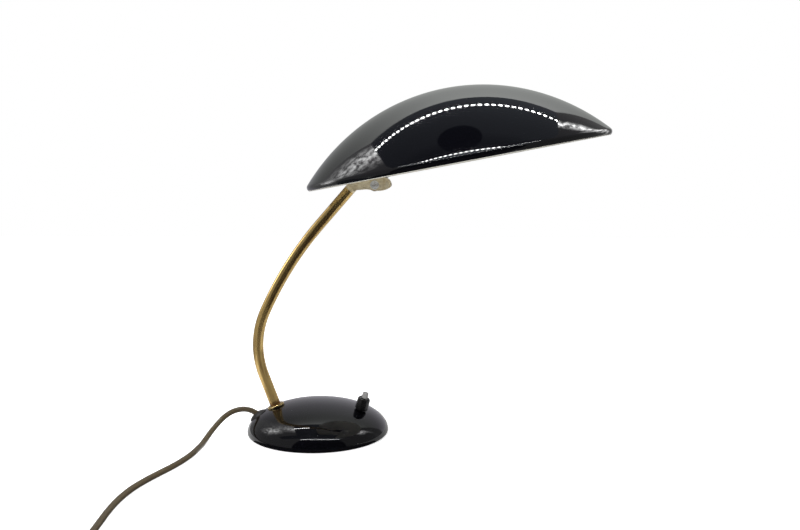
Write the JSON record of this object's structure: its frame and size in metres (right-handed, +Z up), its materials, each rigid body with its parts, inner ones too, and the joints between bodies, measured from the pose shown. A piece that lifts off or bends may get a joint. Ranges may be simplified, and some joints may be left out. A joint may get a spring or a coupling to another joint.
{
  "type": "dome shade desk lamp",
  "caption": "Desk lamp with a round weighted base, a bowed brass arm, a tilting wide dome shade, a push switch on the base and a mains cord with plug.",
  "frame": {"origin": "middle of the base's underside, on the table", "axes": "+Z up, +X towards the shade's nose, +Y away from the side that carries the pivot screw's head"},
  "size_m": [0.4801, 0.5816, 0.3881],
  "materials": {
    "black_enamel": "gloss",
    "brass": "aged satin",
    "pale_brass": "aged satin",
    "steel": "zinc plated",
    "cast_iron": "rough",
    "felt": "felt",
    "black_bakelite": "satin",
    "grey_button": "satin",
    "fibre": "matte",
    "porcelain": "glazed",
    "glass": "opal",
    "rubber": "satin",
    "brown_cord": "satin",
    "brown_plastic": "satin",
    "tie": "matte"
  },
  "bodies": {
    "stand": {"base_shell": "black_enamel", "base_weight": "cast_iron", "base_plate": "steel", "felt_pad": "felt", "crown_post": "steel", "base_screw": "steel", "arm_tube": "brass", "arm_collar": "brass", "arm_nipple": "steel", "arm_washer": "steel", "arm_nut": "steel", "cheek_front": "pale_brass", "cheek_rear": "pale_brass", "pivot_screw": "steel", "pivot_washers": "steel", "pivot_nut": "steel", "friction_washers": "fibre", "switch_body": "black_bakelite", "switch_collar": "black_bakelite", "switch_spring": "steel", "switch_terminals": "brass", "cord_grommet": "rubber", "base_lead": "brown_cord", "cord_clamp": "steel", "clamp_screws": "steel", "terminal_block": "porcelain", "terminal_screws": "brass", "arm_lead": "brown_cord", "tail_lead": "brown_cord", "switch_lead": "brown_cord", "hinge_lead": "brown_cord", "mains_cord": "brown_cord", "cord_coil": "brown_cord", "cord_tie": "tie", "plug_cord": "brown_cord", "plug_body": "brown_plastic", "plug_pins": "brass"},
    "shade": {"shade_shell": "black_enamel", "shade_bracket": "steel", "holder_nipple": "steel", "holder_nuts": "steel", "holder_cap": "black_bakelite", "holder_sleeve": "black_bakelite", "holder_insert": "porcelain", "holder_shell": "brass", "holder_contact": "brass", "bulb_cap": "steel", "bulb_tip": "black_bakelite", "bulb_glass": "glass", "bulb_stem": "glass", "bulb_filament": "steel"},
    "button": {"switch_button": "grey_button"}
  },
  "joints": [
    {"name": "shade_tilt", "type": "hinge", "parent": "stand", "child": "shade", "pos_m": [0.0642, 0, 0.2798], "axis": [0, 1, 0], "range_deg": [-16, 35], "deforming": ["hinge_lead"]},
    {"name": "button_press", "type": "slide", "parent": "stand", "child": "button", "axis": [-0.2827, 0.0601, -0.9573], "range_m": [0, 0.003], "stiffness_N_per_m": 900, "springref_m": -0.002, "deforming": ["switch_spring"]}
  ]
}
